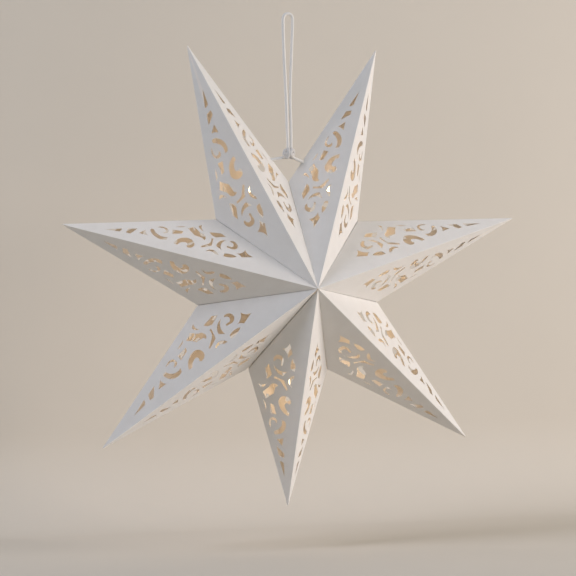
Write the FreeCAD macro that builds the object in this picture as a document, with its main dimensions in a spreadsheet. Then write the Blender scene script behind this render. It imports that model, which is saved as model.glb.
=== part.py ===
import FreeCAD, Part
import math
import os
import Sketcher

from FreeCAD import Vector

# A seven-pointed star lampshade of white card, hung by a cord from its two upper points.
# Frame: the origin is where the cord's loop bears on its hook, X runs to the right of the
# front face, Y to the back and Z up.  The star's axis runs along Y, so its tips lie round
# the XZ plane.  All sizes are in millimetres.
#
# Each point of the star is one sheet of card: four triangular facets, creased along the
# front ridge, the back ridge and the two outer edges, with glue flaps turned in along
# the valleys.  Neighbouring points are glued flap to flap; at the last valley the two end
# flaps are closed with adhesive strips.

DIMENSIONS = {
    "tip_radius": ("310.5", "star centre to a tip"),
    "bottom_tip_radius": ("271", "star centre to the lowest tip, which is shorter"),
    "bottom_tip_loss": ("12.6", "ridge that the lowest tip lacks past its scrollwork"),
    "right_tip_loss": ("8.3", "the same for the two tips at the right"),
    "valley_radius": ("119", "star centre to the inner corner between two points"),
    "half_depth": ("79", "star centre to the front or back apex"),
    "centre_sag": ("6.5", "how far both apexes have sunk under the card's weight"),
    "top_pull": ("8.6", "how far the cord pulls each upper tip towards the middle"),
    "top_lean": ("21", "how far the cord lets each upper tip lean to the back"),
    "hang_drop": ("317", "hook to star centre"),
    "scroll_shift": ("6", "how much nearer the apex the scrollwork by the top valley lies"),
    "card_thickness": ("0.4", "thickness of the card"),
    "tip_nip": ("=6.25 * card_thickness", "how much of each sharp tip is nipped off"),
    "flap_width": ("14", "depth of a glue flap below its valley"),
    "flap_start": ("9", "distance from the apex to the start of a flap"),
    "flap_taper": ("13", "how far the flap's inner edge is cut back at the apex"),
    "flap_split": ("1", "gap between a front flap and a back flap at the corner"),
    "glue_gap": ("0.1", "glue line between two points"),
    "closing_gap": ("1.2", "gap between the two end flaps"),
    "strip_width": ("8", "width of an adhesive closing strip"),
    "strip_clearance": ("0.1", "strip to flap"),
    "cord_width": ("3", "diameter of the hanging cord"),
    "hook_width": ("9", "diameter of the hook that the loop is sized for"),
    "strand_gap": ("0.5", "between the two strands of the cord above the knot"),
    "loop_length": ("104", "from the hook to where the strands lie together"),
    "knot_rise": ("33.5", "from the corner between the top points up to the knot"),
    "knot_length": ("15.5", "width of the knot across the strands"),
    "knot_height": ("10.4", "height of the knot"),
    "tail_drop": ("3.4", "from the middle of the knot down to its two tails"),
    "knot_bend": ("3.2", "bend radius of the cord inside the knot"),
    "cord_hole": ("4", "diameter of the hole in the outer crease"),
    "cord_hole_left": ("34", "from the top corner to the left cord hole, along the crease"),
    "cord_hole_right": ("31", "from the top corner to the right cord hole"),
    "end_knot": ("8", "diameter of the knot that stops each end of the cord"),
    "end_knot_clearance": ("0.2", "end knot to card"),
    "wire_width": ("1.2", "the twin wire's size across both wires"),
    "wire_thickness": ("0.6", "the twin wire's size across one wire"),
    "wire_clearance": ("0.4", "wire to the corner of the flaps"),
    "wire_bend": ("40", "bend radius of the wire past a valley"),
    "wire_end_gap": ("4", "closing valley to each end of the wire"),
    "light_radius": ("118", "star centre to a light"),
    "light_length": ("6", "length of a light, standing out from the wire"),
    "light_width": ("3.4", "width of a light"),
    "light_clearance": ("0.1", "light to wire"),
}

# The points of the star, counter-clockwise from the lowest as seen from the front.
# Valley n lies between point n and the next; the last one is the closing valley.
POINT_NAMES = [
    "bottom",
    "lower_right",
    "upper_right",
    "top_right",
    "top_left",
    "upper_left",
    "lower_left",
]
POINT_COUNT = len(POINT_NAMES)
STEP_ANGLE = 360 / POINT_COUNT
CLOSING_VALLEY = POINT_COUNT - 1
TOP_LEFT = POINT_NAMES.index("top_left")
TOP_RIGHT = POINT_NAMES.index("top_right")
TOP_VALLEY = TOP_RIGHT
TIP_LOSSES = {
    "bottom": "bottom_tip_loss",
    "lower_right": "right_tip_loss",
    "upper_right": "right_tip_loss",
}

# How far a hand-folded corner strays from its place on the regular star, to the right and
# up.  A corner that isn't named keeps its place.
STRAYS = {
    "tip_1": (0.0, -1.8),
    "tip_2": (3.2, 4.3),
    "tip_3": (0.0, -1.1),
    "tip_4": (0.0, 1.7),
    "tip_5": (7.7, 0.7),
    "tip_6": (0.0, -1.2),
    "valley_1": (2.6, -0.8),
    "valley_2": (-2.0, -3.6),
    "valley_3": (-1.2, -1.0),
    "valley_4": (-3.7, 0.0),
    "valley_5": (-4.0, -1.1),
    "valley_6": (-2.0, 3.3),
}

# The scrollwork cut out of every facet, drawn on a facet of nominal size: the apex is at
# (0, 0), the tip at (FACET_LENGTH, 0) along the ridge and the valley corner at
# FACET_CORNER.  An outline is its start and then its cuts: one point for a straight cut,
# two for a curved one, which runs through the first to the second.
FACET_LENGTH = 322.5
FACET_CORNER = (127.3, 74.7)
CUTOUTS = {
    "inner_fleuron": [
        [(80.5, 26.2)],
        [(87.5, 28.8), (91, 35)],
        [(95, 28.8), (104.5, 25)],
        [(99.5, 24), (96, 20.7)],
        [(80.5, 26.2)],
    ],
    "ridge_leaf": [
        [(102, 19.6)],
        [(109, 21.4), (118, 19.6)],
        [(119.3, 14.9)],
        [(110, 15.6), (102, 19.6)],
    ],
    "bridge": [
        [(125, 14.4)],
        [(132, 20.9), (141.8, 15.2)],
        [(135.8, 17.8), (129.8, 14.9)],
        [(125, 14.4)],
    ],
    "crescent": [
        [(114.2, 43)],
        [(123.6, 38.2), (127.9, 29.2)],
        [(121, 24)],
        [(121.9, 33), (114.2, 43)],
    ],
    "small_hook": [
        [(109.5, 43.8)],
        [(100.3, 37.5), (106.5, 30.4)],
        [(114.5, 31.3)],
        [(114.3, 33.8)],
        [(108.6, 33.6)],
        [(105.8, 36.9), (110.3, 41.8)],
        [(109.5, 43.8)],
    ],
    "edge_leaf": [
        [(114.8, 49.3)],
        [(121.5, 52.7)],
        [(136, 49.4)],
        [(132.5, 45.5), (127.8, 43.6)],
        [(114.8, 49.3)],
    ],
    "spur": [
        [(144.8, 59)],
        [(149.3, 55.6)],
        [(147.8, 51.6), (142.5, 48.5)],
        [(145.6, 53.2), (144.8, 59)],
    ],
    "long_fleuron": [
        [(143.2, 33.8)],
        [(140.9, 39.5), (146.8, 44.6)],
        [(155, 52.2)],
        [(158, 50), (163.9, 47)],
        [(159.5, 43), (155.2, 38)],
        [(145.2, 36.8)],
        [(143.2, 33.8)],
    ],
    "branch": [
        [(131, 40.6)],
        [(133.9, 39.8)],
        [(135, 33.2), (139.5, 28.3)],
        [(147.8, 22.2)],
        [(146.4, 20.6)],
        [(133.9, 26.8)],
        [(131, 40.6)],
    ],
    "sliver": [
        [(165.5, 50)],
        [(178.8, 44.6)],
        [(170.8, 46.4), (165.5, 50)],
    ],
    "band": [
        [(169, 40.3)],
        [(182.8, 37.9)],
        [(182.8, 31)],
        [(170.8, 35.6)],
        [(169, 40.3)],
    ],
    "big_hook": [
        [(182, 14.8)],
        [(176.8, 24), (166.5, 29.9)],
        [(155.5, 22.5), (164, 14.3)],
        [(166.3, 16.6)],
        [(164.3, 19.6), (168, 21.9)],
        [(172.8, 19.9), (176.8, 14.9)],
        [(182, 14.8)],
    ],
    "thin_hook": [
        [(202.6, 35.4)],
        [(196.8, 38.6), (190.8, 38.3)],
        [(187.9, 34.2), (194.2, 28.6)],
        [(195, 29.9)],
        [(191.3, 33.8), (194.6, 36.8)],
        [(202.6, 35.4)],
    ],
    "thick_hook": [
        [(189, 23.4)],
        [(190.4, 18.5)],
        [(203.2, 17.9), (210.4, 26.6)],
        [(209.7, 30.2), (205.4, 29.2)],
        [(199.8, 23.2), (189, 23.4)],
    ],
    "triangle": [
        [(216.8, 26.5)],
        [(225.2, 18)],
        [(213.6, 17.8)],
        [(216.3, 21.8), (216.8, 26.5)],
    ],
    "kite": [
        [(226.6, 25)],
        [(238.9, 20.6)],
        [(241.4, 13.4)],
        [(235.8, 13.4)],
        [(226.6, 25)],
    ],
    "teardrop": [
        [(246.6, 18.4)],
        [(267.8, 9.4)],
        [(250, 12.3)],
        [(247.4, 14.8), (246.6, 18.4)],
    ],
}
KNOT_BEVEL = 0.25  # a knot's bevel as a share of its diameter
CUT_REACH = 2.0  # how far a cutter stands out on each side of the card

doc = FreeCAD.newDocument("star_lampshade")


# ---------------------------------------------------------------- sheets

def make_dimension_sheet():
    """Put the driving dimensions, with an alias each, in a sheet."""
    sheet = doc.addObject("Spreadsheet::Sheet", "dims")
    for row, (alias, (value, meaning)) in enumerate(DIMENSIONS.items(), start=1):
        sheet.set(f"A{row}", meaning)
        sheet.set(f"B{row}", value)
        sheet.setAlias(f"B{row}", alias)
    return sheet


def make_corner_sheet():
    """Work out the corners of the folded star from the driving dimensions."""
    sheet = doc.addObject("Spreadsheet::Sheet", "corners")
    formulas = {
        "apex_front": ("0", "-dims.half_depth", "-dims.hang_drop - dims.centre_sag"),
        "apex_back": ("0", "dims.half_depth", "-dims.hang_drop - dims.centre_sag"),
    }
    for number, name in enumerate(POINT_NAMES):
        tip = f"{number * STEP_ANGLE - 90} deg"
        valley = f"{(number + 0.5) * STEP_ANGLE - 90} deg"
        reach = "dims.bottom_tip_radius" if name == "bottom" else "dims.tip_radius"
        pull = {"top_left": "+ dims.top_pull", "top_right": "- dims.top_pull"}.get(name, "")
        formulas[f"tip_{number}"] = (
            f"{reach} * cos({tip}) {pull}",
            "dims.top_lean" if pull else "0",
            f"{reach} * sin({tip}) - dims.hang_drop",
        )
        formulas[f"valley_{number}"] = (
            f"dims.valley_radius * cos({valley})",
            "0",
            f"dims.valley_radius * sin({valley}) - dims.hang_drop",
        )
    for name, (right, up) in STRAYS.items():
        x_term, y_term, z_term = formulas[name]
        formulas[name] = (f"{x_term} + ({right})", y_term, f"{z_term} + ({up})")
    for row, (name, terms) in enumerate(formulas.items(), start=1):
        sheet.set(f"A{row}", name)
        for column, axis, term in zip("BCD", "xyz", terms):
            sheet.set(f"{column}{row}", f"={term}")
            sheet.setAlias(f"{column}{row}", f"{name}_{axis}")
    return sheet


dims = make_dimension_sheet()
corners = make_corner_sheet()
doc.recompute()


def size(alias):
    return float(dims.get(alias))


def corner(name):
    return Vector(*(float(corners.get(f"{name}_{axis}")) for axis in "xyz"))


def span(first, second):
    """The distance between two corners, as an expression on the corner sheet."""
    squares = [f"(corners.{first}_{a} - corners.{second}_{a})^2" for a in "xyz"]
    return f"sqrt({' + '.join(squares)})"


# ---------------------------------------------------------------- small tools

def unit(vector):
    return vector / vector.Length


def frame(origin, along, towards):
    """A placement with X along one vector and Y leaning towards another."""
    x_axis = unit(along)
    z_axis = unit(x_axis.cross(towards))
    y_axis = z_axis.cross(x_axis)
    rotation = FreeCAD.Rotation(x_axis, y_axis, z_axis, "ZXY")
    return FreeCAD.Placement(origin, rotation)


def add(kind, name, **properties):
    item = doc.addObject(kind, name)
    for key, value in properties.items():
        setattr(item, key, value)
    return item


def bind(item, **expressions):
    for key, expression in expressions.items():
        item.setExpression(key, expression)
    return item


def extrusion(name, sketch, forward, backward="0", turned=False):
    """A sketch made solid along its normal; its lengths are expressions."""
    body = add(
        "Part::Extrusion", name, Base=sketch, DirMode="Normal", Solid=True, Reversed=turned
    )
    return bind(body, LengthFwd=forward, LengthRev=backward)


def outline_sketch(name, placement, points):
    """A sketch of a closed outline with straight sides."""
    sketch = add("Sketcher::SketchObject", name, Placement=placement)
    flat = [Vector(x, y, 0) for x, y in points]
    count = len(flat)
    for index in range(count):
        sketch.addGeometry(Part.LineSegment(flat[index], flat[(index + 1) % count]), False)
    for index in range(count):
        sketch.addConstraint(
            Sketcher.Constraint("Coincident", index, 2, (index + 1) % count, 1)
        )
    return sketch


def dimension(sketch, name, expression, *where):
    """A named constraint of a sketch, bound to the sheets."""
    index = sketch.addConstraint(Sketcher.Constraint(*where))
    sketch.renameConstraint(index, name)
    sketch.setExpression(f"Constraints.{name}", expression)


# ---------------------------------------------------------------- a point of the star

def valley_gap(valley):
    return "closing_gap" if valley == CLOSING_VALLEY else "glue_gap"


def facet_frame(face, point, valley):
    """The facet's frame: X up the ridge from the apex, Y towards the valley corner."""
    apex = corner(f"apex_{face}")
    return frame(apex, corner(f"tip_{point}") - apex, corner(f"valley_{valley}") - apex)


def outward_normal(face, point, valley):
    """The facet's normal, pointing out of the star."""
    normal = facet_frame(face, point, valley).Rotation.multVec(Vector(0, 0, 1))
    out = Vector(0, -1, 0) if face == "front" else Vector(0, 1, 0)
    return normal if normal.dot(out) > 0 else -normal


def normal_points_out(face, point, valley):
    normal = facet_frame(face, point, valley).Rotation.multVec(Vector(0, 0, 1))
    return normal.dot(outward_normal(face, point, valley)) > 0


def facet_corners(face, point, valley):
    """The tip and the valley corner of a facet, in its own frame."""
    to_local = facet_frame(face, point, valley).inverse()
    return (
        to_local.multVec(corner(f"tip_{point}")),
        to_local.multVec(corner(f"valley_{valley}")),
    )


def facet(face, point, valley):
    """One triangular facet, as thick as the card and laid inside the star's surface.

    The whole ridge and crease are construction lines; the outline stops short of the tip,
    which is nipped off where the four plies of card meet.
    """
    name = f"facet_{face}_{point}_{valley}"
    tip, root = facet_corners(face, point, valley)
    nip = size("tip_nip")
    ridge_end = Vector(tip.x - nip, 0, 0)
    crease_end = tip + unit(root - tip) * nip
    apex = Vector(0, 0, 0)
    sketch = add(
        "Sketcher::SketchObject", name + "_outline", Placement=facet_frame(face, point, valley)
    )
    sketch.addGeometry([Part.LineSegment(apex, tip), Part.LineSegment(tip, root)], True)
    outline = [apex, ridge_end, crease_end, root, apex]
    for start, end in zip(outline, outline[1:]):
        sketch.addGeometry(Part.LineSegment(start, end), False)
    for first, second in (
        ((0, 1), (-1, 1)),
        ((0, 2), (1, 1)),
        ((1, 2), (4, 2)),
        ((2, 1), (0, 1)),
        ((2, 2), (3, 1)),
        ((3, 2), (4, 1)),
        ((4, 2), (5, 1)),
        ((5, 2), (2, 1)),
    ):
        sketch.addConstraint(Sketcher.Constraint("Coincident", *first, *second))
    sketch.addConstraint(Sketcher.Constraint("Horizontal", 0))
    sketch.addConstraint(Sketcher.Constraint("PointOnObject", 2, 2, 0))
    sketch.addConstraint(Sketcher.Constraint("PointOnObject", 3, 2, 1))
    ridge = span(f"apex_{face}", f"tip_{point}")
    crease = span(f"tip_{point}", f"valley_{valley}")
    fold = span(f"valley_{valley}", f"apex_{face}")
    dimension(sketch, "ridge", ridge, "Distance", 0, tip.x)
    dimension(sketch, "crease", crease, "Distance", 1, (tip - root).Length)
    dimension(sketch, "valley", fold, "Distance", 5, root.Length)
    dimension(sketch, "ridge_nip", "dims.tip_nip", "Distance", 2, 2, 0, 2, nip)
    dimension(sketch, "crease_nip", "dims.tip_nip", "Distance", 3, 2, 1, 1, nip)
    turned = normal_points_out(face, point, valley)
    return extrusion(name, sketch, "dims.card_thickness", turned=turned)


def scrollwork_fit(point, valley):
    """How much longer than its own ridge a facet's scrollwork is laid out, and its shift."""
    loss = TIP_LOSSES.get(POINT_NAMES[point])
    shift = -size("scroll_shift") if valley == TOP_VALLEY else 0.0
    return size(loss) if loss else 0.0, shift


def cutout_geometry(tip, root, loss, shift):
    """The scrollwork's lines and arcs, stretched from the nominal facet to this one."""
    stretch = (tip.x + loss) / FACET_LENGTH
    slant = (root.x - FACET_CORNER[0] * stretch) / FACET_CORNER[1]
    rise = root.y / FACET_CORNER[1]

    def fit(point):
        return Vector(point[0] * stretch + point[1] * slant + shift, point[1] * rise, 0)

    edges = []
    for outline in CUTOUTS.values():
        here = fit(outline[0][0])
        for cut in outline[1:]:
            end = fit(cut[-1])
            if len(cut) == 2:
                edges.append(Part.Arc(here, fit(cut[0]), end))
            else:
                edges.append(Part.LineSegment(here, end))
            here = end
    return edges


def cutouts(face, point, valley):
    """The cutters for one facet's scrollwork."""
    name = f"cutouts_{face}_{point}_{valley}"
    sketch = add(
        "Sketcher::SketchObject", name + "_outline", Placement=facet_frame(face, point, valley)
    )
    geometry = cutout_geometry(
        *facet_corners(face, point, valley), *scrollwork_fit(point, valley)
    )
    sketch.addGeometry(geometry, False)
    return extrusion(name, sketch, f"{CUT_REACH}", f"{CUT_REACH}")


def flap_frame(face, valley):
    """The flap's frame: X down the valley from the apex, Y towards the other apex."""
    apex = corner(f"apex_{face}")
    other = corner("apex_back" if face == "front" else "apex_front")
    return frame(apex, corner(f"valley_{valley}") - apex, other - apex)


def valley_lean(face, valley):
    """The angle between a valley and the middle plane of the star."""
    down = corner(f"valley_{valley}") - corner(f"apex_{face}")
    return math.atan2(abs(down.y), math.hypot(down.x, down.z))


def flap(face, point, valley):
    """A glue flap: a strip of card below the valley, in the valley's radial plane."""
    name = f"flap_{face}_{point}_{valley}"
    placement = flap_frame(face, valley)
    length = (corner(f"valley_{valley}") - corner(f"apex_{face}")).Length
    lean = valley_lean(face, valley)
    width = size("flap_width")
    overlap = size("closing_gap")
    start = size("flap_start")
    end = length - size("flap_split") / 2 / math.sin(lean)
    outline = [
        (start, -overlap),
        (end, -overlap),
        (end, 0),
        (end - width / math.tan(lean), width),
        (start + size("flap_taper"), width),
        (start, 0),
    ]
    sketch = outline_sketch(name + "_outline", placement, outline)
    normal = placement.Rotation.multVec(Vector(0, 0, 1))
    inwards = corner(f"tip_{point}") - corner(f"apex_{face}")
    side = 1 if normal.dot(inwards) > 0 else -1
    sketch.Placement.Base = placement.Base + normal * side * size(valley_gap(valley)) / 2
    return extrusion(name, sketch, "dims.card_thickness", turned=side < 0)


def outer_form(point, valleys):
    """The closed form that a point's facets and its two radial planes bound."""
    front = corner("apex_front")
    back = corner("apex_back")
    tip = corner(f"tip_{point}")
    first, second = (corner(f"valley_{valley}") for valley in valleys)
    triangles = [
        (front, tip, first),
        (front, tip, second),
        (back, tip, first),
        (back, tip, second),
        (front, back, first),
        (front, back, second),
    ]
    faces = [Part.Face(Part.makePolygon([*triangle, triangle[0]])) for triangle in triangles]
    form = Part.Solid(Part.Shell(faces))
    if form.Volume < 0:
        form.reverse()
    return add("Part::Feature", f"form_{point}", Shape=form)


def glue_line(valley):
    """The gap between two points: a thin slab about the valley's radial plane."""
    name = f"glue_line_{valley}"
    apex = corner("apex_front")
    back = corner("apex_back")
    radial = corner(f"valley_{valley}") - apex
    radial.y = 0
    placement = frame(apex, radial, back - apex)
    reach = size("valley_radius")
    normal = placement.Rotation.multVec(Vector(0, 0, 1))
    y_axis = placement.Rotation.multVec(Vector(0, 1, 0))
    placement.Base = apex - unit(radial) * reach / 2 - y_axis * size("half_depth")
    placement.Base = placement.Base - normal * size(valley_gap(valley)) / 2
    slab = add("Part::Box", name, Placement=placement)
    return bind(
        slab,
        Length="2 * dims.valley_radius",
        Width="4 * dims.half_depth",
        Height=f"dims.{valley_gap(valley)}",
    )


def star_point(point, glue_lines, holes):
    """One point of the star: folded, trimmed to its sector and cut through."""
    valleys = ((point - 1) % POINT_COUNT, point)
    sides = [(face, point, valley) for face in ("front", "back") for valley in valleys]
    card = [facet(*side) for side in sides] + [flap(*side) for side in sides]
    folded = add("Part::MultiFuse", f"folded_{point}", Shapes=card)
    form = outer_form(point, valleys)
    trimmed = add("Part::MultiCommon", f"trimmed_{point}", Shapes=[folded, form])
    cutters = [cutouts(*side) for side in sides]
    cutters += [glue_lines[valley] for valley in valleys]
    cutters += [holes[point]] if point in holes else []
    tools = add("Part::Compound", f"cutters_{point}", Links=cutters)
    return add("Part::Cut", f"point_{point}", Base=trimmed, Tool=tools)


# ---------------------------------------------------------------- closing strips

def closing_strip(face):
    """An adhesive strip between the two end flaps."""
    name = f"closing_strip_{face}"
    placement = flap_frame(face, CLOSING_VALLEY)
    lean = valley_lean(face, CLOSING_VALLEY)
    length = (corner(f"valley_{CLOSING_VALLEY}") - corner(f"apex_{face}")).Length
    margin = (size("flap_width") - size("strip_width")) / 2
    start = size("flap_start") + size("flap_taper")
    end = length - size("flap_width") / math.tan(lean) - margin
    rows = (margin, margin + size("strip_width"))
    outline = [(start, rows[0]), (end, rows[0]), (end, rows[1]), (start, rows[1])]
    sketch = outline_sketch(name + "_outline", placement, outline)
    half = "dims.closing_gap / 2 - dims.strip_clearance"
    return extrusion(name, sketch, half, half)


# ---------------------------------------------------------------- cord

def rounded_route(points, radii):
    """Straight runs joined by tangent arcs; prints the radius of every arc."""
    edges = []
    here = points[0]
    for index in range(1, len(points) - 1):
        before = unit(points[index - 1] - points[index])
        after = unit(points[index + 1] - points[index])
        turn = math.pi - before.getAngle(after)
        runs = [(points[index + way] - points[index]).Length for way in (-1, 1)]
        radius = radii.get(index, 0.45 * min(runs) / math.tan(turn / 2))
        cut = radius * math.tan(turn / 2)
        start = points[index] + before * cut
        end = points[index] + after * cut
        middle = unit(before + after) * (radius / math.cos(turn / 2) - radius)
        edges.append(Part.LineSegment(here, start).toShape())
        edges.append(Part.Arc(start, points[index] + middle, end).toShape())
        print(f"turn {math.degrees(turn):.1f} degrees, radius {radius:.1f}")
        here = end
    edges.append(Part.LineSegment(here, points[-1]).toShape())
    return edges


def swept(name, edges, section):
    """A section carried along a route."""
    route = add("Part::Feature", name + "_route", Shape=Part.Wire(edges))
    names = [f"Edge{number + 1}" for number in range(len(edges))]
    return add(
        "Part::Sweep", name, Sections=[section], Spine=(route, names), Solid=True, Frenet=False
    )


def route_start(edges):
    """Where a route starts and which way it goes."""
    return edges[0].Vertexes[0].Point, edges[0].tangentAt(edges[0].FirstParameter)


def round_section(name, edges):
    """The cord's round section, at the start of its route."""
    start, direction = route_start(edges)
    section = add("Part::Circle", name)
    section.Placement = FreeCAD.Placement(start, FreeCAD.Rotation(Vector(0, 0, 1), direction))
    return bind(section, Radius="dims.cord_width / 2")


def ribbon_section(name, edges):
    """The twin wire's flat section, its wide side along the star's axis."""
    start, direction = route_start(edges)
    star_axis = Vector(0, 1, 0)
    across = size("wire_thickness") / 2
    along = size("wire_width") / 2
    outline = [(-across, -along), (across, -along), (across, along), (-across, along)]
    sketch = outline_sketch(name, frame(start, direction.cross(star_axis), star_axis), outline)
    for line in (0, 2):
        sketch.addConstraint(Sketcher.Constraint("Horizontal", line))
    for line in (1, 3):
        sketch.addConstraint(Sketcher.Constraint("Vertical", line))
    sketch.addConstraint(Sketcher.Constraint("Symmetric", 0, 1, 1, 2, -1, 1))
    dimension(sketch, "thickness", "dims.wire_thickness", "Distance", 0, 2 * across)
    dimension(sketch, "width", "dims.wire_width", "Distance", 1, 2 * along)
    return sketch


def bevelled_pin(name, base, direction, radius, height, bevel, ends):
    """A round pin along a direction, bevelled at its top (1) or at both ends (2)."""
    pin = add("Part::Cylinder", name + "_pin")
    bind(pin, Radius=radius, Height=height)
    pin.Placement = FreeCAD.Placement(base, FreeCAD.Rotation(Vector(0, 0, 1), direction))
    pin.recompute()
    rims = [
        (number, edge.CenterOfMass.sub(base).dot(direction))
        for number, edge in enumerate(pin.Shape.Edges, start=1)
        if edge.Closed
    ]
    rims.sort(key=lambda rim: -rim[1])
    chosen = [(number, bevel, bevel) for number, _ in rims[:ends]]
    return add("Part::Chamfer", name, Base=pin, Edges=chosen)


def cord_hole_centre(point):
    """The place on the outer crease where the cord goes in."""
    corner_point = corner(f"valley_{TOP_VALLEY}")
    along = unit(corner(f"tip_{point}") - corner_point)
    distance = "cord_hole_left" if point == TOP_LEFT else "cord_hole_right"
    return corner_point + along * size(distance)


def strand_side():
    """From the middle of the knot out to a strand's centre line."""
    return (size("cord_width") + size("strand_gap")) / 2


def knot_level():
    """The height of the middle of the knot."""
    return corner(f"valley_{TOP_VALLEY}").z + size("knot_rise")


def knot_corner(side):
    """Where a strand turns from upright to its tail, inside the knot."""
    return Vector(side * strand_side(), 0, knot_level() - size("tail_drop"))


def tail_direction(point, side):
    return unit(cord_hole_centre(point) - knot_corner(side))


def end_knot_centre(point, side):
    """Inside the point, as near to the hole as the knot fits between the facets."""
    direction = tail_direction(point, side)
    knot = math.hypot(size("end_knot") / 2, size("end_knot") / 2 - size("end_knot") * KNOT_BEVEL)
    depth = size("card_thickness") + knot + size("end_knot_clearance")
    slopes = [
        -outward_normal(face, point, TOP_VALLEY).dot(direction) for face in ("front", "back")
    ]
    return cord_hole_centre(point) + direction * (depth / min(slopes))


def cord_edges():
    """The route of the cord: up from one end knot, over the hook and down to the other."""
    bend = (size("hook_width") + size("cord_width")) / 2
    top = size("cord_width") / 2
    centre = Vector(0, 0, top - bend)
    joined = Vector(strand_side(), 0, -size("loop_length"))
    offset = joined - centre
    slope = math.acos(bend / offset.Length) + math.atan2(offset.z, offset.x)
    leave = centre + Vector(math.cos(slope), 0, math.sin(slope)) * bend
    right = [leave, joined, knot_corner(1), end_knot_centre(TOP_RIGHT, 1)]
    left = [end_knot_centre(TOP_LEFT, -1), knot_corner(-1)]
    left += [Vector(-place.x, 0, place.z) for place in (joined, leave)]
    knot_bend = size("knot_bend")
    rise = rounded_route(left, {1: knot_bend})
    fall = rounded_route(right, {2: knot_bend})
    over = Part.Arc(left[-1], Vector(0, 0, top), leave).toShape()
    return rise + [over] + fall


def cord_hole(point, side):
    """A hole through the outer crease, in line with the cord's tail."""
    direction = tail_direction(point, side)
    hole = add("Part::Cylinder", f"cord_hole_{point}")
    bind(hole, Radius="dims.cord_hole / 2", Height="2 * dims.end_knot")
    start = cord_hole_centre(point) - direction * size("end_knot")
    hole.Placement = FreeCAD.Placement(start, FreeCAD.Rotation(Vector(0, 0, 1), direction))
    return hole


def end_knot(name, point, side, cord):
    """The knot that stops one end of the cord, drawn tight round it."""
    direction = tail_direction(point, side)
    base = end_knot_centre(point, side) - direction * size("end_knot") / 2
    bevel = size("end_knot") * KNOT_BEVEL
    pin = bevelled_pin(
        name + "_body", base, direction, "dims.end_knot / 2", "dims.end_knot", bevel, 2
    )
    return add("Part::Cut", name, Base=pin, Tool=cord)


def middle_knot(name, cord):
    """The knot that ties the two strands together, drawn tight round both."""
    base = Vector(-size("knot_length") / 2, 0, knot_level())
    bevel = size("knot_height") * KNOT_BEVEL
    pin = bevelled_pin(
        name + "_body",
        base,
        Vector(1, 0, 0),
        "dims.knot_height / 2",
        "dims.knot_length",
        bevel,
        2,
    )
    return add("Part::Cut", name, Base=pin, Tool=cord)


# ---------------------------------------------------------------- light string

def on_star(radius, degrees):
    """A place in the star's middle plane, by radius and angle."""
    angle = math.radians(degrees)
    return Vector(radius * math.cos(angle), 0, radius * math.sin(angle) - size("hang_drop"))


def wire_geometry():
    """The wire's bends: centre distance and radius of a bend round a light, and of one
    past a valley.  The bends touch each other, so they follow on without a straight run."""
    lean = min(valley_lean("front", valley) for valley in range(POINT_COUNT))
    notch = size("flap_width") / math.sin(lean) + size("flap_split") / 2 / math.tan(lean)
    nearest = min(
        (corner(f"valley_{valley}") - on_star(0, 0)).Length for valley in range(POINT_COUNT)
    )
    inner = nearest - notch - size("wire_clearance") - size("wire_thickness") / 2
    peak = size("light_radius")
    past = size("wire_bend")
    out = inner + past
    share = math.cos(math.radians(STEP_ANGLE / 2))
    square = peak**2 + out**2 - 2 * peak * out * share - past**2
    around = square / (2 * peak - 2 * out * share + 2 * past)
    return peak - around, around, out, past


def wire_edges():
    """The wire's route: out round each light and in past each valley, an open ring."""
    light_out, light_bend, valley_out, valley_bend = wire_geometry()
    edges = []
    for number in range(POINT_COUNT):
        angle = number * STEP_ANGLE - 90
        light = on_star(light_out, angle)
        valleys = [on_star(valley_out, angle + way * STEP_ANGLE / 2) for way in (-1, 1)]
        joints = [light + unit(valley - light) * light_bend for valley in valleys]
        peak = on_star(light_out + light_bend, angle)
        edges.append(Part.Arc(joints[0], peak, joints[1]).toShape())
        if number < POINT_COUNT - 1:
            low = on_star(valley_out - valley_bend, angle + STEP_ANGLE / 2)
            following = on_star(light_out, angle + STEP_ANGLE)
            joint = following + unit(valleys[1] - following) * light_bend
            edges.append(Part.Arc(joints[1], low, joint).toShape())
        else:
            edges.append(wire_end(joints[1], valleys[1], angle + STEP_ANGLE / 2, 1))
        if number == 0:
            edges.insert(0, wire_end(joints[0], valleys[0], angle - STEP_ANGLE / 2, -1))
    return edges


def wire_end(joint, centre, angle, way):
    """The last bend of the wire, which stops short of the closing valley."""
    toward_joint = joint - centre
    toward_star = on_star(0, angle) - centre
    arm = toward_star.Length
    reach = toward_joint.Length
    sweep = toward_star.getAngle(toward_joint)
    stop = size("wire_end_gap") / reach
    axis = toward_star.cross(toward_joint)

    def on_bend(turn):
        rotation = FreeCAD.Rotation(axis, math.degrees(turn))
        return centre + rotation.multVec(toward_star * (reach / arm))

    points = [on_bend(stop), on_bend((stop + sweep) / 2), joint]
    if way > 0:
        points.reverse()
    return Part.Arc(*points).toShape()


def light(number):
    """A small light, standing outwards on the wire at the bend inside one point."""
    angle = number * STEP_ANGLE - 90
    outwards = unit(on_star(1, angle) - on_star(0, angle))
    base = size("light_radius") + size("wire_thickness") / 2 + size("light_clearance")
    bevel = size("light_width") / 4
    return bevelled_pin(
        f"light_{number + 1}",
        on_star(base, angle),
        outwards,
        "dims.light_width / 2",
        "dims.light_length",
        bevel,
        1,
    )


# ---------------------------------------------------------------- the lampshade

cord_route = cord_edges()
cord = swept("hanging_cord", cord_route, round_section("cord_section", cord_route))
parts = {
    "hanging_cord": cord,
    "cord_knot": middle_knot("cord_knot", cord),
    "cord_end_knot_left": end_knot("cord_end_knot_left", TOP_LEFT, -1, cord),
    "cord_end_knot_right": end_knot("cord_end_knot_right", TOP_RIGHT, 1, cord),
}

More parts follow.
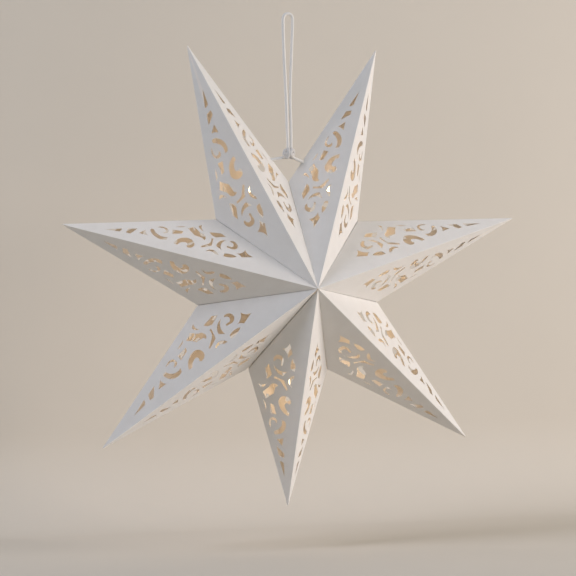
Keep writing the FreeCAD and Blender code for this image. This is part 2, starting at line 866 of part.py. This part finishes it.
glue_lines = {valley: glue_line(valley) for valley in range(POINT_COUNT)}
holes = {TOP_LEFT: cord_hole(TOP_LEFT, -1), TOP_RIGHT: cord_hole(TOP_RIGHT, 1)}
for number, name in enumerate(POINT_NAMES):
    parts[f"star_point_{name}"] = star_point(number, glue_lines, holes)

for face in ("front", "back"):
    parts[f"closing_strip_{face}"] = closing_strip(face)

wire_route = wire_edges()
parts["light_wire"] = swept("light_wire", wire_route, ribbon_section("wire_section", wire_route))
for number in range(POINT_COUNT):
    parts[f"light_{number + 1}"] = light(number)

for label, item in parts.items():
    item.Label = label
doc.recompute()

for item in doc.Objects:
    if "Invalid" in item.State or "Error" in item.State:
        raise RuntimeError(f"{item.Name} failed: {item.State}")
for label, item in parts.items():
    if item.Shape.isNull() or not item.Shape.isValid():
        raise RuntimeError(f"{label} has no valid shape")

sections = {
    "hanging_cord": math.pi * size("cord_width") ** 2 / 4,
    "light_wire": size("wire_thickness") * size("wire_width"),
}
for name, section in sections.items():
    length = doc.getObject(name + "_route").Shape.Length
    share = parts[name].Shape.Volume / (section * length)
    print(f"{name}: {length:.1f} long, volume {share:.4f} of section times length")

os.makedirs("parts", exist_ok=True)
for label, item in parts.items():
    item.Shape.exportStep(f"parts/{label}.step")
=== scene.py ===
"""A seven-pointed paper star lampshade, hanging by its cord, with its light string lit."""

import math

import bmesh
import bpy
from mathutils import Matrix, Vector


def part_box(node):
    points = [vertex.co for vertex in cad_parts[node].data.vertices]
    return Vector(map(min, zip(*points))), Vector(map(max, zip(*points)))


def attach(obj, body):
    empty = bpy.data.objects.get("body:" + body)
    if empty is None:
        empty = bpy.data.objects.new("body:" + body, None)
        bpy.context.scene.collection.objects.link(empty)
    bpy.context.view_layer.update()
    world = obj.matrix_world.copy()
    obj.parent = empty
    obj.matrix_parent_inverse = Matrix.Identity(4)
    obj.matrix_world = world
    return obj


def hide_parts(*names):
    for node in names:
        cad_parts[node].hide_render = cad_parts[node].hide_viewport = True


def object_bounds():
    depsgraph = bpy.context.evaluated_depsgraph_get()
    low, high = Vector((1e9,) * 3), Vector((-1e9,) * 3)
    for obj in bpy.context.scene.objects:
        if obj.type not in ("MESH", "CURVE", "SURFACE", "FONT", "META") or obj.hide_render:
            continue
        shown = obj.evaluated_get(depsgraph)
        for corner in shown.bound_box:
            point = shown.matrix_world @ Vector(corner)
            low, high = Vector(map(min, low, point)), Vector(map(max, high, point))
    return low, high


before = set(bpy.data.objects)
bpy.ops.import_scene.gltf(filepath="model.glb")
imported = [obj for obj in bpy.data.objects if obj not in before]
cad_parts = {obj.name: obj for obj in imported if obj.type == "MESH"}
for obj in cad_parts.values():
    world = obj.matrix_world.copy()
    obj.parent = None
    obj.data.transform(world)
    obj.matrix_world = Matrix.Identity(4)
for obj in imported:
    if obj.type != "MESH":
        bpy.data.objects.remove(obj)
cad_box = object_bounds()

MM = 0.001
UP = Vector((0, 0, 1))
BODY = "root"
STAR_CENTRE = Vector((0.0, 0.0, -317 * MM))
STAR_RADIUS = 308 * MM
STAR_POINTS = [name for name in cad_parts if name.startswith("star_point_")]
LIGHTS = [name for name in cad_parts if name.startswith("light_") and name != "light_wire"]
CLOSING_STRIPS = [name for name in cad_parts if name.startswith("closing_strip_")]

# The camera: how far to the left of the star's front it stands, how far above its level, how
# far its picture leans, how far off it is and the place that it looks at.
CAMERA_TURN = math.radians(25.8)
CAMERA_RISE = math.radians(2.34)
CAMERA_ROLL = math.radians(0.29)
CAMERA_DISTANCE = 15.52 * STAR_RADIUS
CAMERA_TARGET = STAR_CENTRE + Vector((-0.004, 0, -0.028)) * STAR_RADIUS

# The light string.  Each bead has a small lamp beyond it, seen from the star's centre, whose
# share of the power is listed from the bottom point round to the lower left one.
GLOW_POWER = 0.012  # watts
GLOW_SHARES = [1.1, 1.1, 0.85, 0.9, 1.0, 0.35, 0.55]
GLOW_COLOUR = (1.0, 0.64, 0.33)
GLOW_SIZE = 4 * MM  # the lamp's radius
GLOW_STAND_OFF = 9 * MM  # from the middle of the bead
BEAD_GLOW = 3.5
TURNED_LIGHTS = ["light_6", "light_7"]  # the two left-hand beads face away from the front
TURNED_BEAD_GLOW = 0.35
PAINTED_INSIDE_GLOW = 0.06  # painted light: a faint glow on the card's inside, for the string's light scattered there

# The card.  Each pair of colours here and below is the darker and the paler one of a mottle; on
# the cord and its knots the darker one lies in the fluff's hollows, as painted shade.
CARD_COLOURS = ((0.865, 0.85, 0.825), (0.9, 0.89, 0.87))
# The folds are paler than the card: partly the whiter broken fibres of a scored fold, partly a
# painted highlight along each fold.
FOLD_FIBRE_AND_HIGHLIGHT_COLOURS = ((0.93, 0.92, 0.9), (0.95, 0.945, 0.93))
LIGHT_THROUGH_CARD = 0.12  # how much of the card's look is the light from behind it
SAME_PLACE = 0.001 * MM  # vertices nearer than this become one
FOLD_LENGTH = 120 * MM  # every fold is longer than this, and every cut edge is shorter
SHARP_LENGTH = 6 * MM  # how much of each point stays sharp, at its tip and at its root
# How far the rounding of a fold reaches, for the valley folds and then for the sharper
# ridges and creases, each with the least angle that such a fold turns through.
FOLD_WIDTHS = [(math.radians(40), 1.2 * MM), (math.radians(70), 0.8 * MM)]
FOLD_STEPS = 4
INWARD_SHARE = 0.5  # how squarely a face looks inwards to count as the card's inside

# The cord.
CORD_WIDTH = 3 * MM
FLUFF = 1.25  # how much the cord's loose fibres widen it
CORD_COLOURS = ((0.8, 0.78, 0.75), (0.9, 0.88, 0.85))
# The knots' cotton is painted darker than the cord's, as painted shade on the knots.
KNOT_SHADED_COLOURS = ((0.6, 0.585, 0.57), (0.74, 0.72, 0.7))
# Each knot's half sizes, how far its turns hang to one side and how much they swell.
MIDDLE_KNOT = ((7.75 * MM, 5.2 * MM, 5.2 * MM), -1.6 * MM, 1.2)
END_KNOT = ((2.6 * MM, 2.4 * MM, 2.2 * MM), 0.0, 1.0)
# The cord's route, in millimetres: from the left end knot up through the middle knot, over
# the hook and back down to the right end knot.
CORD_ROUTE = [
    (-30.14, 4.9, -173.48),
    (-14.0, 2.1, -171.2),
    (-1.9, 0.0, -168.9),
    (-2.2, 0.0, -154.0),
    (-3.8, 0.0, -130.0),
    (-4.6, 0.0, -105.0),
    (-6.5, 0.0, -75.0),
    (-8.6, 0.0, -38.0),
    (-9.6, 0.0, -14.0),
    (-9.6, 0.0, 1.4),
    (3.0, 0.0, 1.4),
    (3.0, 0.0, -14.0),
    (2.0, 0.0, -38.0),
    (0.7, 0.0, -75.0),
    (0.1, 0.0, -105.0),
    (1.6, 0.0, -130.0),
    (1.9, 0.0, -154.0),
    (1.9, 0.0, -168.9),
    (12.0, 2.0, -172.7),
    (25.74, 4.68, -177.68),
]
# A strand's way through the knot, in shares of the knot's half sizes: down its front, up its
# side and down its back, then round its side once more and out at its foot.  The left strand
# takes it so, and the right strand takes it turned half round, down the knot's back first.
KNOT_ROUTE = [
    (0.24, 0.0, 1.5),
    (0.24, 0.0, 1.05),
    (0.24, -0.4, 0.7),
    (0.2, -0.62, 0.1),
    (0.3, -0.5, -0.62),
    (0.62, -0.3, -0.9),
    (0.86, -0.15, -0.15),
    (0.7, 0.05, 0.78),
    (0.35, 0.3, 0.88),
    (0.0, 0.6, 0.2),
    (0.25, 0.6, -0.4),
    (0.6, 0.3, 0.0),
    (0.56, -0.45, 0.15),
    (0.45, -0.4, -0.4),
    (0.26, 0.0, -0.72),
    (0.24, 0.0, -0.82),
]

# The stage, in metres: how far its floor lies below the lowest tip, how far the wall stands
# behind the star, the bend between the two, and its edges at either side, in front and above.
FLOOR_BELOW = 0.055
WALL_BEHIND = 0.36
WALL_BEND = 0.12
BEND_STEPS = 12
STAGE_SIDE = 1.8
STAGE_FRONT = -1.6
STAGE_TOP = 1.4
STAGE_COLOUR = (0.7, 0.65, 0.572)
STAGE_MOTTLE = 0.97  # the brightness of the mottle's darker patches, as a share
BACKGROUND = (0.58, 0.52, 0.45)  # what the camera sees past the wall
ROOM_LIGHT = (0.72, 0.92, 1.0)
ROOM_STRENGTH = 0.17

scene = bpy.context.scene
scene.view_settings.view_transform = "Standard"


# ---------------------------------------------------------------- camera

def make_camera():
    """A long lens, some way to the left of the star's front and nearly level with it."""
    ahead = Vector(
        (
            math.sin(CAMERA_TURN) * math.cos(CAMERA_RISE),
            math.cos(CAMERA_TURN) * math.cos(CAMERA_RISE),
            -math.sin(CAMERA_RISE),
        )
    )
    level = Vector((math.cos(CAMERA_TURN), -math.sin(CAMERA_TURN), 0))
    upright = level.cross(ahead)
    right = level * math.cos(CAMERA_ROLL) + upright * math.sin(CAMERA_ROLL)
    up = upright * math.cos(CAMERA_ROLL) - level * math.sin(CAMERA_ROLL)
    data = bpy.data.cameras.new("camera")
    data.lens = 250
    data.sensor_width = 36
    data.clip_end = 50
    camera = bpy.data.objects.new("camera", data)
    turned = Matrix((right, up, -ahead)).transposed().to_4x4()
    camera.matrix_world = Matrix.Translation(CAMERA_TARGET - ahead * CAMERA_DISTANCE) @ turned
    scene.collection.objects.link(camera)
    scene.camera = camera


# ---------------------------------------------------------------- shader tools

def new_material(name):
    """A new material, and its nodes and links."""
    material = bpy.data.materials.new(name)
    material.use_nodes = True
    return material, material.node_tree.nodes, material.node_tree.links


def set_inputs(node, **values):
    """Set values on a shader node's inputs; an input's spaces are written as _."""
    for name, value in values.items():
        node.inputs[name.replace("_", " ")].default_value = value


def add_node(nodes, kind, **values):
    """A new shader node with values on its inputs."""
    node = nodes.new(kind)
    set_inputs(node, **values)
    return node


def add_texture(nodes, links, kind, **values):
    """A new texture node, laid out in the object's own space."""
    texture = add_node(nodes, kind, **values)
    place = nodes.new("ShaderNodeTexCoord").outputs["Object"]
    links.new(place, texture.inputs["Vector"])
    return texture


def ramp(nodes, links, source, low, high, colours):
    """A two-colour ramp between two values of a source."""
    node = nodes.new("ShaderNodeValToRGB")
    node.color_ramp.elements[0].position = low
    node.color_ramp.elements[1].position = high
    node.color_ramp.elements[0].color = (*colours[0], 1)
    node.color_ramp.elements[1].color = (*colours[1], 1)
    links.new(source, node.inputs["Fac"])
    return node.outputs["Color"]


def add_bump(nodes, links, source, strength, distance):
    """Raise the material's surface by a source."""
    bump = add_node(nodes, "ShaderNodeBump", Strength=strength, Distance=distance)
    links.new(source, bump.inputs["Height"])
    links.new(bump.outputs["Normal"], nodes["Principled BSDF"].inputs["Normal"])


# ---------------------------------------------------------------- materials

def card_material(name, colours, glow=0.0):
    """White board: fine fibres, a faint mottle, a little light through the sheet, and any painted
    glow.
    """
    material, nodes, links = new_material(name)
    shader = nodes["Principled BSDF"]
    fibre = add_texture(
        nodes, links, "ShaderNodeTexNoise", Scale=900.0, Detail=4.0, Roughness=0.65
    )
    mottle = add_texture(
        nodes, links, "ShaderNodeTexNoise", Scale=55.0, Detail=3.0, Roughness=0.6
    )
    colour = ramp(nodes, links, mottle.outputs["Fac"], 0.3, 0.7, colours)
    links.new(colour, shader.inputs["Base Color"])
    set_inputs(
        shader,
        Roughness=0.62,
        Specular_IOR_Level=0.35,
        Emission_Color=(*GLOW_COLOUR, 1),
        Emission_Strength=glow,
    )
    add_bump(nodes, links, fibre.outputs["Fac"], 0.12, 0.0002)
    through = add_node(nodes, "ShaderNodeBsdfTranslucent", Color=(0.95, 0.86, 0.72, 1))
    mix = add_node(nodes, "ShaderNodeMixShader", Fac=LIGHT_THROUGH_CARD)
    links.new(shader.outputs["BSDF"], mix.inputs[1])
    links.new(through.outputs["BSDF"], mix.inputs[2])
    links.new(mix.outputs["Shader"], nodes["Material Output"].inputs["Surface"])
    return material


def cotton_material(name, colours):
    """Soft cotton with a fine fluff, with painted shade darkening its hollows."""
    material, nodes, links = new_material(name)
    shader = nodes["Principled BSDF"]
    fluff = add_texture(
        nodes, links, "ShaderNodeTexNoise", Scale=2600.0, Detail=3.0, Roughness=0.7
    )
    # painted shade: the fluff's hollows take the darker colour
    colour = ramp(nodes, links, fluff.outputs["Fac"], 0.3, 0.7, colours)
    links.new(colour, shader.inputs["Base Color"])
    set_inputs(shader, Roughness=0.75)
    add_bump(nodes, links, fluff.outputs["Fac"], 0.4, 0.0003)
    return material


def wire_material():
    """Lacquered silver wire."""
    material, nodes, links = new_material("light_wire")
    shader = nodes["Principled BSDF"]
    wear = add_texture(nodes, links, "ShaderNodeTexNoise", Scale=700.0, Detail=2.0)
    colours = ((0.62, 0.6, 0.55), (0.78, 0.76, 0.7))
    colour = ramp(nodes, links, wear.outputs["Fac"], 0.35, 0.65, colours)
    links.new(colour, shader.inputs["Base Color"])
    set_inputs(shader, Metallic=0.6, Roughness=0.35)
    return material


def light_material(name, glow):
    """A clear bead that glows warm white."""
    material, nodes, links = new_material(name)
    shader = nodes["Principled BSDF"]
    cloud = add_texture(nodes, links, "ShaderNodeTexNoise", Scale=900.0, Detail=2.0)
    colours = ((1.0, 0.78, 0.45), (1.0, 0.86, 0.6))
    colour = ramp(nodes, links, cloud.outputs["Fac"], 0.3, 0.7, colours)
    links.new(colour, shader.inputs["Base Color"])
    links.new(colour, shader.inputs["Emission Color"])
    set_inputs(shader, Emission_Strength=glow, Roughness=0.2)
    return material


def adhesive_material():
    """Off-white foam of the closing strips."""
    material, nodes, links = new_material("closing_foam")
    shader = nodes["Principled BSDF"]
    cells = add_texture(nodes, links, "ShaderNodeTexVoronoi", Scale=1800.0)
    colours = ((0.8, 0.79, 0.75), (0.87, 0.86, 0.83))
    colour = ramp(nodes, links, cells.outputs["Distance"], 0.1, 0.6, colours)
    links.new(colour, shader.inputs["Base Color"])
    set_inputs(shader, Roughness=0.8)
    return material


def stage_material():
    """A plain pale surface with the faintest mottle, clear to a camera that is behind it."""
    material, nodes, links = new_material("backdrop_paint")
    shader = nodes["Principled BSDF"]
    cloud = add_texture(nodes, links, "ShaderNodeTexNoise", Scale=3.0, Detail=4.0)
    darker = [channel * STAGE_MOTTLE for channel in STAGE_COLOUR]
    colour = ramp(nodes, links, cloud.outputs["Fac"], 0.3, 0.7, (darker, STAGE_COLOUR))
    links.new(colour, shader.inputs["Base Color"])
    set_inputs(shader, Roughness=0.9, Specular_IOR_Level=0.2)
    behind = nodes.new("ShaderNodeMath")
    behind.operation = "MULTIPLY"
    links.new(nodes.new("ShaderNodeNewGeometry").outputs["Backfacing"], behind.inputs[0])
    links.new(nodes.new("ShaderNodeLightPath").outputs["Is Camera Ray"], behind.inputs[1])
    mix = nodes.new("ShaderNodeMixShader")
    links.new(behind.outputs["Value"], mix.inputs["Fac"])
    links.new(shader.outputs["BSDF"], mix.inputs[1])
    links.new(nodes.new("ShaderNodeBsdfTransparent").outputs["BSDF"], mix.inputs[2])
    links.new(mix.outputs["Shader"], nodes["Material Output"].inputs["Surface"])
    return material


# ---------------------------------------------------------------- folded card

def fold_edges(mesh, least, most):
    """The long outward folds of a star point that turn through an angle between two values."""
    return [
        edge
        for edge in mesh.edges
        if edge.calc_length() > FOLD_LENGTH and least < edge.calc_face_angle_signed(0) < most
    ]


def faces_inwards(face, axis):
    """Whether a face looks at the line that runs from the star's centre to the point's tip."""
    outwards = face.calc_center_median() - STAR_CENTRE
    outwards -= axis * outwards.dot(axis)
    return face.normal.dot(outwards.normalized()) < -INWARD_SHARE


def point_axis(name):
    """The way from the star's centre out to a star point's middle, in the star's plane."""
    low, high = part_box(name)
    axis = (low + high) / 2 - STAR_CENTRE
    axis.y = 0
    axis.normalize()
    return axis


def round_folds(mesh, axis):
    """Round a star point's folds, but for its sharp ends, and give the rounded faces."""
    along = [vertex.co.dot(axis) for vertex in mesh.verts]
    cuts = (min(along) + SHARP_LENGTH, max(along) - SHARP_LENGTH)
    for cut in cuts:
        bmesh.ops.bisect_plane(
            mesh,
            geom=[*mesh.verts, *mesh.edges, *mesh.faces],
            plane_co=axis * cut,
            plane_no=axis,
        )
    strips = set()
    for (least, width), most in zip(FOLD_WIDTHS, (FOLD_WIDTHS[1][0], math.pi)):
        rounded = bmesh.ops.bevel(
            mesh,
            geom=fold_edges(mesh, least, most),
            offset=width,
            segments=FOLD_STEPS,
            profile=0.5,
            affect="EDGES",
            clamp_overlap=False,
        )
        strips = {face for face in strips if face.is_valid} | set(rounded["faces"])
    bmesh.ops.remove_doubles(mesh, verts=mesh.verts, dist=SAME_PLACE)
    root, tip = cuts[0] - SHARP_LENGTH / 2, cuts[1] + SHARP_LENGTH / 2
    return {
        face
        for face in strips
        if face.is_valid and all(root < vertex.co.dot(axis) < tip for vertex in face.verts)
    }


def folded_card(name, card, fold, inside):
    """A star point with its folds rounded, as a scored fold in board is."""
    mesh = bmesh.new()
    mesh.from_mesh(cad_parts[name].data)
    bmesh.ops.remove_doubles(mesh, verts=mesh.verts, dist=SAME_PLACE)
    axis = point_axis(name)
    strips = round_folds(mesh, axis)
    materials = (card, fold, inside)
    for face in mesh.faces:
        face.smooth = False
        finish = inside if faces_inwards(face, axis) else card
        face.material_index = materials.index(finish)
    for face in strips:
        face.smooth = True
        # the fold's paler colour is partly a painted highlight
        face.material_index = materials.index(fold)
    for edge in mesh.edges:
        edge.smooth = all(face in strips for face in edge.link_faces)
    data = bpy.data.meshes.new("card_" + name)
    mesh.to_mesh(data)
    mesh.free()
    for material in materials:
        data.materials.append(material)
    piece = bpy.data.objects.new("card_" + name, data)
    scene.collection.objects.link(piece)
    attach(piece, BODY)
    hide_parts(name)


# ---------------------------------------------------------------- cord and knots

def curve_object(name, places, material, swell=1.0):
    """A round cord along a smooth curve; swell widens it between its ends."""
    data = bpy.data.curves.new(name, "CURVE")
    data.dimensions = "3D"
    data.resolution_u = 8
    data.bevel_depth = CORD_WIDTH / 2 * FLUFF
    data.bevel_resolution = 3
    data.use_fill_caps = True
    spline = data.splines.new("NURBS")
    spline.points.add(len(places) - 1)
    for point, place in zip(spline.points, places):
        point.co = (*place, 1)
    for point in spline.points[1:-1]:
        point.radius = swell
    spline.order_u = 3
    spline.use_endpoint_u = True
    data.materials.append(material)
    piece = bpy.data.objects.new(name, data)
    scene.collection.objects.link(piece)
    return piece


def strand_places(node, reach, aside, axes, side):
    """A strand's way through a knot; side is -1 for the left strand and 1 for the right one."""
    low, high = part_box(node)
    centre = (low + high) / 2
    turned = Matrix(axes).transposed() @ Matrix.Diagonal(reach)
    places = []
    for x, y, z in KNOT_ROUTE:
        hang = axes[0] * (aside * max(0, 1 - z * z))
        places.append(centre + turned @ Vector((side * x, -side * y, z)) + hang)
    return places


def knot_piece(name, node, sizes, axes, material):
    """A knot of two strands, standing for the CAD knot."""
    reach, aside, swell = sizes
    joined = bmesh.new()
    for side in (-1, 1):
        places = strand_places(node, reach, aside, axes, side)
        strand = curve_object(f"{name}_strand", places, material, swell)
        joined.from_mesh(bpy.data.meshes.new_from_object(strand))
        bpy.data.objects.remove(strand)
    data = bpy.data.meshes.new(name)
    joined.to_mesh(data)
    joined.free()
    data.polygons.foreach_set("use_smooth", [True] * len(data.polygons))
    data.materials.append(material)
    piece = bpy.data.objects.new(name, data)
    scene.collection.objects.link(piece)
    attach(piece, BODY)
    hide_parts(node)
    return piece


def make_cord():
    """The hanging cord, the knot that ties its strands and the knots at its ends."""
    cotton = cotton_material("cord_cotton", CORD_COLOURS)
    # painted shade: the knots get darker cotton than the cord
    shaded_cotton = cotton_material("knot_cotton_painted_shade", KNOT_SHADED_COLOURS)
    places = [Vector(place) * MM for place in CORD_ROUTE]
    cord = curve_object("cord", places, cotton)
    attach(cord, BODY)
    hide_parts("hanging_cord")
    upright = (Vector((1, 0, 0)), Vector((0, 1, 0)), UP)
    knots = [knot_piece("knot", "cord_knot", MIDDLE_KNOT, upright, shaded_cotton)]
    for side, last, before in (("left", places[0], places[1]), ("right", places[-1], places[-2])):
        along = (before - last).normalized()
        across = along.cross(UP).normalized()
        axes = (across, across.cross(along), along)
        node = f"cord_end_knot_{side}"
        knots.append(knot_piece(f"end_knot_{side}", node, END_KNOT, axes, shaded_cotton))


def dress(names, material):
    """Give CAD nodes a material."""
    for name in names:
        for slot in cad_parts[name].material_slots:
            slot.material = material


# ---------------------------------------------------------------- stage and light

def make_stage():
    """A floor that curves up into a wall behind the star."""
    floor_z = cad_box[0][2] - FLOOR_BELOW
    bend_start = WALL_BEHIND - WALL_BEND
    bend_top = floor_z + WALL_BEND
    profile = [(STAGE_FRONT, floor_z), (bend_start, floor_z)]
    for step in range(1, BEND_STEPS):
        angle = math.pi / 2 * step / BEND_STEPS
        y = bend_start + WALL_BEND * math.sin(angle)
        profile.append((y, bend_top - WALL_BEND * math.cos(angle)))
    profile += [(WALL_BEHIND, bend_top), (WALL_BEHIND, STAGE_TOP)]
    vertices = [(side * STAGE_SIDE, y, z) for y, z in profile for side in (-1, 1)]
    faces = [(2 * n, 2 * n + 1, 2 * n + 3, 2 * n + 2) for n in range(len(profile) - 1)]
    mesh = bpy.data.meshes.new("backdrop")
    mesh.from_pydata(vertices, [], faces)
    mesh.polygons.foreach_set("use_smooth", [True] * len(faces))
    backdrop = bpy.data.objects.new("backdrop", mesh)
    scene.collection.objects.link(backdrop)
    mesh.materials.append(stage_material())


def light_glow():
    """The light that each bead of the string gives inside its point."""
    for name, share in zip(LIGHTS, GLOW_SHARES):
        low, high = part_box(name)
        data = bpy.data.lights.new("glow_" + name, "POINT")
        data.energy = GLOW_POWER * share
        data.color = GLOW_COLOUR
        data.shadow_soft_size = GLOW_SIZE
        lamp = bpy.data.objects.new("glow_" + name, data)
        centre = (low + high) / 2
        lamp.location = centre + (centre - STAR_CENTRE).normalized() * GLOW_STAND_OFF
        lamp.visible_camera = False
        scene.collection.objects.link(lamp)


def area_light(name, place, width, power, colour):
    """A square soft lamp that looks at the star and isn't seen itself."""
    data = bpy.data.lights.new(name, "AREA")
    data.shape = "SQUARE"
    data.size = width
    data.energy = power
    data.color = colour
    lamp = bpy.data.objects.new(name, data)
    lamp.location = place
    lamp.visible_camera = False
    lamp.rotation_euler = (STAR_CENTRE - Vector(place)).to_track_quat("-Z", "Y").to_euler()
    scene.collection.objects.link(lamp)


def make_light():
    """A warm soft key from the right, a cool fill from the upper left, the string and the room."""
    area_light("key", place=(3.0, -1.75, 0.42), width=1.6, power=98, colour=(1.0, 0.91, 0.87))
    area_light("fill", place=(-2.75, -0.8, 1.8), width=1.4, power=51, colour=(0.86, 0.87, 1.0))
    light_glow()
    make_world()


def make_world():
    """A dim bluish light all round, and the wall's own colour where the camera sees past it."""
    world = bpy.data.worlds.new("world")
    world.use_nodes = True
    scene.world = world
    nodes, links = world.node_tree.nodes, world.node_tree.links
    light = nodes["Background"]
    set_inputs(light, Color=(*ROOM_LIGHT, 1), Strength=ROOM_STRENGTH)
    seen = add_node(nodes, "ShaderNodeBackground", Color=(*BACKGROUND, 1), Strength=1.0)
    path = nodes.new("ShaderNodeLightPath")
    looks = path.outputs["Is Camera Ray"]
    for kind in ("Is Glossy Ray", "Is Transmission Ray"):
        either = nodes.new("ShaderNodeMath")
        either.operation = "MAXIMUM"
        links.new(looks, either.inputs[0])
        links.new(path.outputs[kind], either.inputs[1])
        looks = either.outputs["Value"]
    mix = nodes.new("ShaderNodeMixShader")
    links.new(looks, mix.inputs["Fac"])
    links.new(light.outputs["Background"], mix.inputs[1])
    links.new(seen.outputs["Background"], mix.inputs[2])
    links.new(mix.outputs["Shader"], nodes["World Output"].inputs["Surface"])


# ---------------------------------------------------------------- build

make_camera()
make_stage()
make_light()
card = card_material("white_card", CARD_COLOURS)
# the folds' paler colour is partly a painted highlight
fold = card_material("card_fold_fibre_and_highlight", FOLD_FIBRE_AND_HIGHLIGHT_COLOURS)
# painted light: the card's inside glows faintly
inside = card_material("card_inside", CARD_COLOURS, glow=PAINTED_INSIDE_GLOW)
for name in STAR_POINTS:
    folded_card(name, card, fold, inside)
make_cord()
dress(["light_wire"], wire_material())
dress(LIGHTS, light_material("light_glow", BEAD_GLOW))
dress(TURNED_LIGHTS, light_material("light_turned", TURNED_BEAD_GLOW))
dress(CLOSING_STRIPS, adhesive_material())
